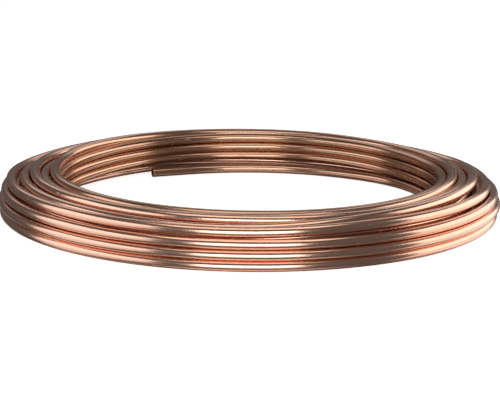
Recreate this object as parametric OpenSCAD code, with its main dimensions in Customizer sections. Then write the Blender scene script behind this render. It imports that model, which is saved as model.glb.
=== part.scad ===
// Coil of soft copper tube lying flat on the floor, in millimetres, +Z up.
// The origin is on the coil's axis, at the floor.
// The packed turns are one turned solid, and each turn shows on the inside, the outside, the top and the bottom.
// The inner end is drawn out into the eye, and the outer end stops on top of the outer layer.

/* [Tube] */
// Outside diameter of the tube
tube_d = 10; // [6:0.5:15]
// Wall thickness of the tube
wall_t = 1; // [0.6:0.1:1.5]

/* [Winding] */
// Clear width of the eye, across the innermost turns
eye_d = 380; // [300:10:700]
// Number of inner layers, counted outwards from the eye
layer_count = 4; // [2:1:6]
// Number of turns lying on each other in a layer
row_count = 4; // [3:1:8]
// Gap between turns lying on each other
row_gap = 0.2; // [0.1:0.1:1]
// Gap between the last inner layer and the top turn of the outer layer
outer_gap = 5; // [1:0.5:6]
// How much further out the widest outer turn lies than the top one
outer_bulge = 9; // [0:0.5:10]
// How far the solid inside reaches past the centrelines of the turns
web_reach = 1.8; // [1:0.1:2]

/* [Inner end] */
// Direction in which the straight end begins, seen from the coil's axis
inner_end_deg = 111; // [90:1:130]
// How far its centreline lies in from that of the innermost turns
inner_end_in = 15; // [10:0.5:20]
// How far its centreline lies above that of the bottom turns
inner_end_up = 0.5; // [0.5:0.5:4]
// Length of the straight end, where a fitting goes on
inner_straight = 43; // [20:1:60]
// How much wider than the innermost turns the curve between them and the straight end is
inner_curve_extra = 6; // [3:0.5:12]
// How far the curve runs on into the turn that it comes from
inner_root = 6; // [4:1:10]
// Gap left in the bottom inner turn past the inner end, measured round the coil
inner_gap_deg = 26; // [15:1:60]

/* [Outer end] */
// Direction in which the top outer turn ends
outer_end_deg = 96; // [80:1:130]
// Gap left in the top outer turn, measured round the coil
outer_gap_deg = 14; // [8:1:40]
// Depth of the bore in the outer end, measured round the coil
outer_bore_deg = 10; // [5:1:20]

/* [Hidden] */
$fn = 96;
row_pitch = tube_d + row_gap;
bore_d = tube_d - 2 * wall_t;
mouth_play = 1;
top_row = row_count - 1;
last_layer = layer_count - 1;

// Centre of the turn in layer i and row j: every second layer lies half a row higher.
function turn_r(i) = eye_d / 2 + tube_d / 2 + i * tube_d;
function turn_z(i, j) = tube_d / 2 + (j + (i % 2) / 2) * row_pitch;
// The outer layer is barrel shaped, widest at a third of its height.
function barrel(j) = 1 - pow((j / top_row - 1 / 3) / (2 / 3), 2);
function outer_r(j) = turn_r(layer_count) + outer_gap + outer_bulge * barrel(j);
function outer_z(j) = tube_d / 2 + j * row_pitch;

// The inner end's curve, how far its centre lies off the coil's, and where it meets the innermost turn.
inner_r = turn_r(0) - inner_end_in;
inner_curve_r = turn_r(0) + inner_curve_extra;
curve_off = inner_curve_r - inner_r;
inner_sweep = acos((pow(curve_off, 2) + pow(inner_curve_r, 2) - pow(turn_r(0), 2))
    / (2 * curve_off * inner_curve_r));
inner_exit_deg = inner_end_deg
    - atan2(inner_curve_r * sin(inner_sweep), inner_curve_r * cos(inner_sweep) - curve_off);
first_turn_start = inner_end_deg + inner_gap_deg;

module turn(radius, height) translate([radius, height]) circle(d = tube_d);

// Outline that joins the centres of the outermost turns all round, a little proud of them.
module web() {
    bottom = [for (i = [1 : last_layer]) [turn_r(i), turn_z(i, 0) - web_reach]];
    outside = [for (j = [0 : top_row - 1]) [outer_r(j) + web_reach, outer_z(j)]];
    side = turn_r(last_layer) + web_reach;
    top = [for (i = [last_layer : -1 : 0]) [turn_r(i), turn_z(i, top_row) + web_reach]];
    inside = [for (j = [top_row : -1 : 1]) [turn_r(0) - web_reach, turn_z(0, j)]];
    polygon(concat(
        bottom,
        [[outer_r(0), outer_z(0) - web_reach]],
        outside,
        [[outer_r(top_row - 1), outer_z(top_row - 1) + web_reach]],
        [[side, turn_z(last_layer, top_row - 1)], [side, turn_z(last_layer, top_row)]],
        top,
        inside
    ));
}

// Section of all the turns that run right round.
module packed_section() {
    web();
    for (i = [0 : last_layer], j = [0 : top_row])
        if (i > 0 || j > 0) turn(turn_r(i), turn_z(i, j));
    for (j = [0 : top_row - 1]) turn(outer_r(j), outer_z(j));
}

// Section of the bottom inner turn, joined to the turns above it and behind it.
module first_turn_section() {
    turn(turn_r(0), turn_z(0, 0));
    polygon([
        [turn_r(0) - web_reach, turn_z(0, 0)],
        [turn_r(0), turn_z(0, 0) - web_reach],
        [turn_r(1), turn_z(1, 0)],
        [turn_r(0), turn_z(0, 1)],
    ]);
}

// Section of the top outer turn, joined to the turns below it and behind it.
module last_turn_section() {
    turn(outer_r(top_row), outer_z(top_row));
    polygon([
        [outer_r(top_row) + web_reach, outer_z(top_row)],
        [outer_r(top_row) - web_reach, outer_z(top_row)],
        [turn_r(last_layer), turn_z(last_layer, top_row - 1)],
        [outer_r(top_row - 1), outer_z(top_row - 1)],
    ]);
}

// The inner end as a round bar: it runs straight on from the curve's end, and the curve lies behind.
module inner_end(d, straight, behind)
    rotate(inner_end_deg) translate([inner_r, 0, turn_z(0, 0) + inner_end_up]) {
        rotate([-90, 0, 0]) cylinder(h = straight, d = d);
        mirror([0, 1, 0]) translate([-inner_curve_r, 0])
            rotate_extrude(angle = inner_sweep + behind)
                translate([inner_curve_r, 0]) circle(d = d);
    }

// Bore of the outer end, which runs round with the top outer turn.
module outer_bore()
    rotate(outer_end_deg - outer_gap_deg / 2)
        rotate_extrude(angle = outer_bore_deg + outer_gap_deg / 2)
            translate([outer_r(top_row), outer_z(top_row)]) circle(d = bore_d);

module copper_tube()
    color("#c98468")
        difference() {
            union() {
                rotate_extrude() packed_section();
                rotate(first_turn_start)
                    rotate_extrude(angle = 360 - first_turn_start + inner_exit_deg)
                        first_turn_section();
                rotate(outer_end_deg)
                    rotate_extrude(angle = 360 - outer_gap_deg) last_turn_section();
                inner_end(tube_d, inner_straight, inner_root / inner_curve_r * 180 / PI);
            }
            inner_end(bore_d, inner_straight + mouth_play, 0);
            outer_bore();
        }

copper_tube();
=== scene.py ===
import math

import bpy
import numpy as np
from mathutils import Matrix, Vector


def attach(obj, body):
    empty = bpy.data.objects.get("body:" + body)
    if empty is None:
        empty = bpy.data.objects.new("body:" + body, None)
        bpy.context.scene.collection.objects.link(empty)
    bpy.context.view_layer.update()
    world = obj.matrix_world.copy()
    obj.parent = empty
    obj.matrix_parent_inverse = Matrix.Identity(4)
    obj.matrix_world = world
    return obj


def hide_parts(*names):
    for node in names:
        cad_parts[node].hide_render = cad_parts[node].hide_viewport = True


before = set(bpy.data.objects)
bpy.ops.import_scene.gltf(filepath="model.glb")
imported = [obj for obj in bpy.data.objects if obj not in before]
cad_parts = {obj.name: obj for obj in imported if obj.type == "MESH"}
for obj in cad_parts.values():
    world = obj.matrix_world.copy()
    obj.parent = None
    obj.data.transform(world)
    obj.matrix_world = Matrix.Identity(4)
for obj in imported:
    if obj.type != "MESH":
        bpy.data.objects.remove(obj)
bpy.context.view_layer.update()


# The tube is one length, wound clockwise from its inner end, seen from above.
# Turns are counted from the back of the coil (+Y). Radius and height are those of the
# tube's centreline, in tube diameters.
coil = {
    "tubeD": 0.010,  # outside diameter of the tube, metres
    "wallT": 0.001,  # its wall
    "boreDepth": 0.055,  # how far the bore is open behind each cut end
    "stepsPerTurn": 176,
    "sides": 20,
    "softening": 0.045,  # part of a turn over which a change of layer is spread
    "sway": 0.022,  # uneven lay of the turns, tube diameters
    # each sway is a sine of the turn: its rate, its phase, its share of the sway
    "swayOut": [(8.17, 0.6, 1.0), (20.9, 2.1, 0.5)],
    "swayUp": [(13.3, 1.1, 0.4)],
    "swayUpFrom": 0.5,  # the sway in height starts at this turn and is full one turn later
    # turn, radius, height
    "stations": [
        # first layer, which climbs from the floor
        (0.00, 19.50, 0.52), (0.25, 19.50, 0.56), (0.50, 19.52, 0.88), (0.75, 19.45, 1.22),
        (0.85, 19.50, 1.42), (0.89, 19.52, 1.62), (0.95, 19.55, 1.75), (1.00, 19.58, 1.70),
        (1.06, 19.60, 1.82), (1.10, 19.60, 1.80), (1.16, 19.62, 1.64), (1.25, 19.68, 1.60),
        (1.50, 19.68, 1.96), (1.75, 19.45, 2.25), (1.85, 19.50, 2.45), (1.89, 19.55, 2.56),
        (1.95, 19.58, 2.65), (2.03, 19.60, 2.76), (2.09, 19.60, 2.74), (2.16, 19.62, 2.64),
        (2.25, 19.70, 2.74), (2.50, 19.70, 3.02), (2.75, 19.45, 3.25), (2.85, 19.50, 3.47),
        (2.89, 19.55, 3.59), (2.95, 19.58, 3.67), (3.03, 19.60, 3.75), (3.09, 19.60, 3.74),
        (3.16, 19.62, 3.65), (3.25, 19.72, 3.75), (3.50, 19.72, 4.05), (3.75, 19.45, 4.25),
        (3.83, 19.62, 4.40),
        # second layer, which winds down again
        (3.97, 20.65, 4.04), (4.06, 20.70, 4.02), (4.10, 20.70, 3.93), (4.14, 20.70, 3.94),
        (4.25, 20.74, 4.20), (4.50, 20.74, 4.02), (4.75, 20.50, 3.76), (4.83, 20.60, 3.34),
        (4.97, 20.66, 3.02), (5.14, 20.70, 2.92), (5.25, 20.74, 3.17), (5.50, 20.74, 2.99),
        (5.75, 20.38, 2.73), (5.97, 20.66, 2.00), (6.14, 20.70, 1.90), (6.25, 20.74, 2.14),
        (6.50, 20.74, 1.96), (6.75, 20.38, 1.70), (6.87, 20.50, 1.42), (6.97, 20.66, 0.98),
        (7.14, 20.70, 0.90),
        (7.25, 20.74, 1.11), (7.50, 20.74, 0.93), (7.75, 20.40, 0.67), (7.85, 20.75, 0.53),
        (7.95, 21.55, 0.52),
        # third layer, up
        (8.06, 21.70, 0.52), (8.25, 21.76, 0.68), (8.50, 21.72, 0.94), (8.75, 21.32, 1.18),
        (8.84, 21.60, 0.82), (8.88, 21.66, 1.06), (8.93, 21.66, 1.44), (9.00, 21.70, 1.52),
        (9.25, 22.06, 1.70), (9.50, 21.72, 1.97), (9.75, 21.32, 2.20), (9.84, 21.60, 1.80),
        (9.88, 21.66, 2.02), (9.93, 21.66, 2.38), (10.00, 21.70, 2.53), (10.25, 22.12, 2.73),
        (10.50, 21.72, 3.05), (10.75, 21.38, 3.22), (10.84, 21.60, 2.80), (10.88, 21.62, 2.94),
        (10.93, 21.64, 3.28), (11.00, 21.68, 3.54), (11.08, 21.70, 3.56), (11.16, 21.72, 3.62),
        (11.25, 21.76, 3.76), (11.50, 21.72, 4.10), (11.72, 21.45, 4.24), (11.77, 21.50, 4.14),
        (11.84, 21.72, 3.80),
        # fourth layer, down
        (11.94, 22.64, 3.60), (12.06, 22.68, 3.60), (12.10, 22.70, 3.42), (12.13, 22.70, 3.36),
        (12.19, 22.72, 3.62), (12.22, 22.74, 3.95), (12.26, 22.74, 4.18), (12.32, 22.72, 4.16),
        (12.41, 22.70, 4.02), (12.47, 22.68, 3.60), (12.52, 22.66, 3.44), (12.60, 22.56, 3.60),
        (12.75, 22.56, 3.76), (12.83, 22.60, 2.90), (12.97, 22.66, 2.56), (13.13, 22.80, 2.36),
        (13.24, 23.12, 2.90), (13.30, 23.46, 2.72), (13.38, 23.38, 2.86), (13.45, 23.30, 2.94),
        (13.50, 23.18, 2.64), (13.56, 22.95, 2.50), (13.75, 23.34, 2.86), (13.83, 23.22, 2.15),
        (13.90, 23.00, 1.80), (13.97, 22.66, 1.55), (14.12, 23.20, 1.50), (14.20, 23.75, 1.52),
        (14.50, 23.55, 1.50), (14.60, 22.90, 1.55), (14.75, 22.90, 1.82), (14.83, 22.98, 1.25),
        (14.90, 22.82, 0.88), (14.97, 22.72, 0.56), (15.10, 22.90, 0.52), (15.20, 23.62, 0.52),
        (15.44, 23.45, 0.52), (15.55, 22.80, 0.52), (15.74, 22.86, 0.52), (15.83, 23.64, 0.52),
        # outer layer, up: a barrel that lies wider below than above
        (15.94, 23.82, 0.52), (16.03, 23.90, 0.52), (16.13, 24.40, 0.52), (16.25, 24.84, 0.52),
        (16.50, 24.54, 0.52),
        (16.75, 24.64, 0.52), (16.90, 24.80, 0.52), (17.00, 24.86, 0.56), (17.06, 24.92, 0.86),
        (17.13, 25.04, 1.30), (17.25, 25.19, 1.49), (17.50, 24.54, 1.51), (17.75, 24.72, 1.55),
        (17.84, 24.86, 1.42), (17.97, 24.80, 1.42), (18.05, 24.85, 1.80), (18.13, 24.92, 2.24),
        (18.25, 24.90, 2.50), (18.50, 24.50, 2.52), (18.75, 24.42, 2.66), (18.84, 24.40, 2.30),
        (18.97, 24.24, 2.36), (19.05, 24.15, 2.70), (19.13, 24.05, 3.05), (19.25, 24.03, 3.28),
        (19.41, 24.14, 3.74), (19.50, 24.22, 3.57), (19.60, 24.10, 3.66), (19.73, 23.92, 3.70),
        (19.80, 23.90, 3.24), (19.86, 23.90, 3.20), (19.92, 23.90, 3.32), (20.05, 23.88, 3.38),
    ],
    "lastTurn": 19.972,
    # the drawn-out inner end, in metres and degrees as on the CAD part
    "innerEnd": {"azimuth": 111.0, "inset": 0.015, "lift": 0.0005, "straight": 0.043, "curveExtra": 0.006},
    "innerRadius": 0.195,
    "joinTurns": (0.09, 0.19),  # where the drawn-out end becomes the wound turns, from and to
    "fineStep": 0.005,  # part of a turn between the points that are softened
}


def smoothStep(t):
    # 3t^2 - 2t^3 between 0 and 1
    t = np.clip(t, 0.0, 1.0)
    return t * t * (3.0 - 2.0 * t)


def drawnOutRadius(turn):
    # Distance from the axis of the inner end, against the turn: a circle whose centre lies
    # off the axis, then the straight that runs on from it at a right angle to its radius.
    end = coil["innerEnd"]
    inner = coil["innerRadius"] - end["inset"]
    bend = coil["innerRadius"] + end["curveExtra"]
    off = bend - inner
    delta = np.radians(90.0 - 360.0 * turn - end["azimuth"])
    onCurve = -off * np.cos(delta) + np.sqrt(bend**2 - (off * np.sin(delta)) ** 2)
    return np.where(delta > 0.0, inner / np.cos(np.clip(delta, -1.2, 1.2)), onCurve)


def swayOf(turn, waves):
    # The sum of share * sin(turn * rate + phase), times the coil's sway.
    return coil["sway"] * sum(share * np.sin(turn * rate + phase) for rate, phase, share in waves)


def softened(turn, column):
    # One column of the stations against the turn: straight between them, then averaged with a
    # bell-shaped weight as wide as the softening on either side.
    stations = np.array(coil["stations"])
    margin = 0.6  # turns past both ends of the tube
    fine = np.arange(-margin, coil["lastTurn"] + margin, coil["fineStep"])
    reach = int(round(coil["softening"] / coil["fineStep"]))
    bell = np.hanning(2 * reach + 3)[1:-1]
    bell /= bell.sum()
    straight = np.interp(fine, stations[:, 0], stations[:, column])
    return np.interp(turn, fine, np.convolve(np.pad(straight, reach, mode="edge"), bell, mode="valid"))


def windingLine():
    # Centreline of the tube: the softened radius and height, with their sways, turned about the axis;
    # before the join they are those of the drawn-out end. Returns points, one row each.
    end = coil["innerEnd"]
    inner = coil["innerRadius"] - end["inset"]
    mouth = -(end["azimuth"] - 90.0 + math.degrees(math.atan2(end["straight"], inner))) / 360.0
    count = int(round((coil["lastTurn"] - mouth) * coil["stepsPerTurn"])) + 1
    turn = np.linspace(mouth, coil["lastTurn"], count)
    radius = softened(turn, 1) + swayOf(turn, coil["swayOut"])
    height = softened(turn, 2) + swayOf(turn, coil["swayUp"]) * smoothStep(turn - coil["swayUpFrom"])
    radius *= coil["tubeD"]
    height *= coil["tubeD"]
    joinFrom, joinTo = coil["joinTurns"]
    free = 1.0 - smoothStep((turn - joinFrom) / (joinTo - joinFrom))
    lift = coil["tubeD"] / 2 + end["lift"]
    radius = radius * (1.0 - free) + drawnOutRadius(turn) * free
    height = height * (1.0 - free) + lift * free
    angle = np.pi / 2 - 2.0 * np.pi * turn
    return np.stack([radius * np.cos(angle), radius * np.sin(angle), height], axis=1)


def sweepTube(line):
    # A round profile carried along the line. Its rows run from the bottom of one bore, out over the
    # wall's end, along the outside, over the other end and down the other bore, so the skin is closed.
    # A point is its row's centre + row's radius * (cos(a) * sideways + sin(a) * upwards).
    outer = coil["tubeD"] / 2
    bore = outer - coil["wallT"]
    step = np.linalg.norm(np.diff(line, axis=0), axis=1)
    along = np.concatenate([[0.0], np.cumsum(step)])
    total = along[-1]
    depth = coil["boreDepth"]
    # how far in from the cut end each extra row lies, and its radius
    lip = np.array([
        (depth, 0.0), (depth, 0.5 * bore), (depth, bore), (depth - 0.002, bore),
        (0.5 * depth, bore), (0.0012, bore), (0.00030, bore), (0.00010, bore + 0.00006),
        (0.0, bore + 0.00016), (0.0, outer - 0.00022), (0.00006, outer - 0.00007),
        (0.00020, outer), (0.0008, outer),
    ])
    middle = along[2:-2]
    at = np.concatenate([lip[:, 0], middle, total - lip[::-1, 0]])
    wide = np.concatenate([lip[:, 1], np.full(len(middle), outer), lip[::-1, 1]])
    centre = np.stack([np.interp(at, along, line[:, k]) for k in range(3)], axis=1)
    tangent = np.gradient(line, along, axis=0)
    tangent = np.stack([np.interp(at, along, tangent[:, k]) for k in range(3)], axis=1)
    tangent /= np.linalg.norm(tangent, axis=1)[:, None]
    sideways = np.cross(tangent, [0.0, 0.0, 1.0])
    sideways /= np.linalg.norm(sideways, axis=1)[:, None]
    upwards = np.cross(sideways, tangent)
    sides = coil["sides"]
    angle = np.linspace(0.0, 2.0 * np.pi, sides, endpoint=False)
    ring = np.cos(angle)[None, :, None] * sideways[:, None] + np.sin(angle)[None, :, None] * upwards[:, None]
    points = centre[:, None] + wide[:, None, None] * ring
    return points, at


def closedSkin(name, points, at):
    # Faces between neighbouring rows and columns of the grid; the first and last rows have no width,
    # so each becomes one point with a fan of triangles.
    rows, sides = points.shape[:2]
    body = points[1:-1].reshape(-1, 3)
    vertices = np.concatenate([points[:1, 0], body, points[-1:, 0]])
    column = np.arange(sides)
    following = (column + 1) % sides
    start = 1 + sides * np.arange(rows - 3)[:, None]
    ahead = start + sides
    quads = np.stack([start + column, start + following, ahead + following, ahead + column], axis=-1)
    last = len(vertices) - 1
    lastRow = 1 + sides * (rows - 3)
    fanA = np.stack([np.zeros(sides, int), 1 + following, 1 + column], axis=1)
    fanB = np.stack([np.full(sides, last), lastRow + column, lastRow + following], axis=1)
    mesh = bpy.data.meshes.new(name)
    mesh.vertices.add(len(vertices))
    mesh.vertices.foreach_set("co", vertices.ravel())
    loops = np.concatenate([fanA.ravel(), quads.ravel(), fanB.ravel()])
    sizes = np.concatenate([np.full(sides, 3), np.full(sides * (rows - 3), 4), np.full(sides, 3)])
    mesh.loops.add(len(loops))
    mesh.loops.foreach_set("vertex_index", loops.astype(np.int32))
    mesh.polygons.add(len(sizes))
    mesh.polygons.foreach_set("loop_start", np.concatenate([[0], np.cumsum(sizes)[:-1]]).astype(np.int32))
    mesh.polygons.foreach_set("use_smooth", np.ones(len(sizes), bool))
    mesh.update(calc_edges=True)
    # UV: metres along the tube, and metres round it
    sideWidth = np.pi * coil["tubeD"] / sides
    rowU = at[1:-1]
    quadU = np.stack([rowU[:-1], rowU[:-1], rowU[1:], rowU[1:]], axis=-1)
    quadU = np.repeat(quadU[:, None], sides, axis=1).reshape(-1)
    quadV = np.stack([column, column + 1, column + 1, column], axis=-1) * sideWidth
    quadV = np.repeat(quadV[None], rows - 3, axis=0).reshape(-1)
    fanU = np.repeat([at[0], at[-1]], sides * 3)
    fanV = np.concatenate([
        np.stack([column + 0.5, column + 1, column], axis=-1).ravel(),
        np.stack([column + 0.5, column, column + 1], axis=-1).ravel(),
    ]) * sideWidth
    u = np.concatenate([fanU[: sides * 3], quadU, fanU[sides * 3:]])
    v = np.concatenate([fanV[: sides * 3], quadV, fanV[sides * 3:]])
    layer = mesh.uv_layers.new(name="alongTube")
    layer.data.foreach_set("uv", np.stack([u, v], axis=1).ravel())
    mesh.validate()
    piece = bpy.data.objects.new(name, mesh)
    bpy.context.scene.collection.objects.link(piece)
    return piece


line = windingLine()
points, at = sweepTube(line)
tube = closedSkin("woundTube", points, at)
print("tube wound:", round(float(at[-1]), 2), "m long,", len(tube.data.polygons), "faces")


copper = {
    "bright": (0.89, 0.55, 0.42),
    "dull": (0.74, 0.41, 0.29),
    # painted shade: the darker colour given to the innermost turns inside the coil's eye
    "paintedShade": (0.64, 0.38, 0.26),
    "paintedShadeLength": (4.3, 6.0),  # painted shade on the innermost turns, which stand inside the coil's eye; metres from the inner end, from and to
    "roughness": 0.16,
    "glossRange": (-0.03, 0.10),  # how far the clouds move the roughness, down and up
    "scuffs": 0.22,  # added to the roughness where turns have rubbed
    "bump": 0.02,
    "bumpHeight": 0.0002,
    # how fine each pattern is along the tube and round it, in cells to the metre
    "dieLines": (3.0, 420.0, 1.0),
    "cloudCells": (9.0, 130.0, 1.0),
    "scuffCells": (70.0, 240.0, 1.0),
    # the part of each pattern that shows, from none to all
    "tarnishFrom": (0.42, 0.78),
    "scuffFrom": (0.66, 0.74),
    "tarnishShare": 0.35,
}


def node(tree, kind, **values):
    # A new node, with its sockets or its settings given by name.
    made = tree.nodes.new(kind)
    for key, value in values.items():
        if key in made.inputs:
            made.inputs[key].default_value = value
        else:
            setattr(made, key, value)
    return made


def patternAlong(tree, uv, cells, **values):
    # Noise on the tube's own UV map, stretched to so many cells to the metre.
    stretch = node(tree, "ShaderNodeMapping", Scale=cells)
    tree.links.new(uv.outputs["UV"], stretch.inputs["Vector"])
    noise = node(tree, "ShaderNodeTexNoise", **values)
    noise.inputs["Scale"].default_value = 1.0
    tree.links.new(stretch.outputs["Vector"], noise.inputs["Vector"])
    return noise.outputs["Fac"]


def mapped(tree, source, fromRange=(0.0, 1.0), toRange=(0.0, 1.0)):
    # The source's value, carried from one range to the other and held inside it.
    ranges = node(tree, "ShaderNodeMapRange")
    ranges.inputs["From Min"].default_value, ranges.inputs["From Max"].default_value = fromRange
    ranges.inputs["To Min"].default_value, ranges.inputs["To Max"].default_value = toRange
    tree.links.new(source, ranges.inputs["Value"])
    return ranges.outputs["Result"]


def brightCopper():
    # Drawn copper: faint lines along the tube, clouds of tarnish and of gloss, a few small scuffs, and
    # painted shade on the innermost turns.
    material = bpy.data.materials.new("drawnCopper")
    material.use_nodes = True
    tree = material.node_tree
    shader = tree.nodes["Principled BSDF"]
    shader.inputs["Metallic"].default_value = 1.0
    link = tree.links.new
    uv = node(tree, "ShaderNodeUVMap", uv_map="alongTube")
    # lines left by the die: very long along the tube, fine round it
    lines = patternAlong(tree, uv, copper["dieLines"], Detail=3.0, Roughness=0.6)
    bump = node(tree, "ShaderNodeBump", Strength=copper["bump"], Distance=copper["bumpHeight"])
    link(lines, bump.inputs["Height"])
    link(bump.outputs["Normal"], shader.inputs["Normal"])
    # clouds of tarnish along the length
    clouds = patternAlong(tree, uv, copper["cloudCells"], Detail=4.0, Roughness=0.55)
    share = node(tree, "ShaderNodeMath", operation="MULTIPLY")
    share.inputs[1].default_value = copper["tarnishShare"]
    link(mapped(tree, clouds, copper["tarnishFrom"]), share.inputs[0])
    colour = node(tree, "ShaderNodeMix", data_type="RGBA")
    colour.inputs["A"].default_value = (*copper["bright"], 1.0)
    colour.inputs["B"].default_value = (*copper["dull"], 1.0)
    link(share.outputs["Value"], colour.inputs["Factor"])
    # painted shade: the innermost turns, which stand inside the coil's eye, are given a darker colour
    place = node(tree, "ShaderNodeSeparateXYZ")
    link(uv.outputs["UV"], place.inputs["Vector"])
    shadeMix = node(tree, "ShaderNodeMix", data_type="RGBA")
    shadeMix.inputs["B"].default_value = (*copper["paintedShade"], 1.0)
    link(mapped(tree, place.outputs["X"], copper["paintedShadeLength"][::-1]), shadeMix.inputs["Factor"])
    link(colour.outputs["Result"], shadeMix.inputs["A"])
    link(shadeMix.outputs["Result"], shader.inputs["Base Color"])
    # gloss that follows the clouds, and small scuffs where the turns have rubbed
    least, most = copper["glossRange"]
    gloss = mapped(tree, clouds, toRange=(copper["roughness"] + least, copper["roughness"] + most))
    specks = patternAlong(tree, uv, copper["scuffCells"], Detail=2.0)
    rough = node(tree, "ShaderNodeMath", operation="ADD")
    link(gloss, rough.inputs[0])
    link(mapped(tree, specks, copper["scuffFrom"], (0.0, copper["scuffs"])), rough.inputs[1])
    link(rough.outputs["Value"], shader.inputs["Roughness"])
    return material


tube.data.materials.append(brightCopper())
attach(tube, "root")
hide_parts("copper_tube")
print("copper finished")


studio = {
    "floor": 0.90,
    "floorHalf": 9.0,  # from the middle of the floor to its edge
    "floorGlow": 0.80,  # light the pale floor gives of itself, as paper lit from below
    "floorSheen": 0.72,  # how much of a light the copper sees mirrored in the floor
    "sheenBlur": 0.22,
    "surround": 0.11,
    "cameraDistance": 1.963,
    "cameraRise": 12.569,  # degrees above the floor
    "cameraRoll": 0.577,
    "cameraTarget": (0.0, 0.0, 0.020),
    "focal": 3.8479,  # in frame widths
    "aim": (0.0740, 0.2740),  # degrees the camera looks right of and above its target
    # name, width and height, centre, the way it faces, radiance, colour
    "lights": [
        ("overhead", (0.80, 0.50), (0.0, -0.34, 0.78), (0.0, 0.0, -1.0), 1.2, (1.0, 0.94, 0.84)),
        ("left", (1.80, 0.95), (-1.30, -0.65, 0.475), (1.0, 0.0, 0.0), 1.30, (1.0, 0.96, 0.95)),
        ("right", (2.20, 0.95), (1.30, 0.70, 0.475), (-1.0, 0.0, 0.0), 1.60, (1.0, 0.95, 0.88)),
        ("front", (2.06, 1.05), (0.0, -2.60, 0.525), (0.0, 1.0, 0.0), 3.4, (1.0, 1.0, 1.0)),
        ("backTop", (2.40, 1.00), (0.0, 1.40, 1.10), (0.0, -0.8, -0.6), 0.55, (1.0, 0.98, 0.97)),
    ],
}


def softBox(name, size, centre, facing, radiance, colour):
    # A rectangular light: power = pi * area * radiance.
    light = bpy.data.lights.new(name, "AREA")
    light.shape = "RECTANGLE"
    light.size, light.size_y = size
    light.energy = math.pi * size[0] * size[1] * radiance
    light.color = colour
    box = bpy.data.objects.new(name, light)
    bpy.context.scene.collection.objects.link(box)
    turn = Vector(facing).to_track_quat("-Z", "Y").to_matrix().to_4x4()
    box.matrix_world = Matrix.Translation(centre) @ turn


def paleFloor():
    # White paper to the eye; in the polished tube it shows only as a dim mirror of the lights.
    mesh = bpy.data.meshes.new("floor")
    half = studio["floorHalf"]
    corners = [(-half, -half, 0), (half, -half, 0), (half, half, 0), (-half, half, 0)]
    mesh.from_pydata(corners, [], [(0, 1, 2, 3)])
    floor = bpy.data.objects.new("floor", mesh)
    bpy.context.scene.collection.objects.link(floor)
    material = bpy.data.materials.new("palePaper")
    material.use_nodes = True
    tree = material.node_tree
    paper = tree.nodes["Principled BSDF"]
    white = studio["floor"]
    paper.inputs["Base Color"].default_value = (white, white, white, 1.0)
    paper.inputs["Roughness"].default_value = 0.9
    paper.inputs["Specular IOR Level"].default_value = 0.1
    paper.inputs["Emission Color"].default_value = (1.0, 1.0, 1.0, 1.0)
    paper.inputs["Emission Strength"].default_value = studio["floorGlow"]
    sheen = node(tree, "ShaderNodeBsdfGlossy", Roughness=studio["sheenBlur"])
    dim = studio["floorSheen"]
    sheen.inputs["Color"].default_value = (dim, dim, dim, 1.0)
    ray = node(tree, "ShaderNodeLightPath")
    either = node(tree, "ShaderNodeMixShader")
    tree.links.new(ray.outputs["Is Glossy Ray"], either.inputs["Fac"])
    tree.links.new(paper.outputs["BSDF"], either.inputs[1])
    tree.links.new(sheen.outputs["BSDF"], either.inputs[2])
    tree.links.new(either.outputs["Shader"], tree.nodes["Material Output"].inputs["Surface"])
    mesh.materials.append(material)


def roomLight():
    # An even, dim room round the coil, and the soft boxes.
    world = bpy.data.worlds.new("studioRoom")
    world.use_nodes = True
    back = world.node_tree.nodes["Background"]
    back.inputs["Color"].default_value = (1.0, 0.96, 0.93, 1.0)
    back.inputs["Strength"].default_value = studio["surround"]
    bpy.context.scene.world = world
    bpy.context.scene.view_settings.view_transform = "Standard"
    for light in studio["lights"]:
        softBox(*light)


def addCamera():
    # The camera looks at the middle of the coil from the front, a little above it, and is then turned
    # by its own small roll and by the aim that puts the coil where it stands in the frame.
    data = bpy.data.cameras.new("camera")
    data.sensor_fit = "HORIZONTAL"
    data.sensor_width = 36.0
    data.lens = 36.0 * studio["focal"]
    data.clip_start = 0.05
    camera = bpy.data.objects.new("camera", data)
    bpy.context.scene.collection.objects.link(camera)
    rise = math.radians(studio["cameraRise"])
    target = Vector(studio["cameraTarget"])
    away = Vector((0.0, -math.cos(rise), math.sin(rise)))
    look = (-away).to_track_quat("-Z", "Y").to_matrix().to_4x4()
    yaw = Matrix.Rotation(-math.radians(studio["aim"][0]), 4, "Y")
    pitch = Matrix.Rotation(-math.radians(studio["aim"][1]), 4, "X")
    roll = Matrix.Rotation(math.radians(studio["cameraRoll"]), 4, "Z")
    place = Matrix.Translation(target + away * studio["cameraDistance"])
    camera.matrix_world = place @ look @ roll @ yaw @ pitch
    bpy.context.scene.camera = camera


paleFloor()
roomLight()
addCamera()
print("studio ready")
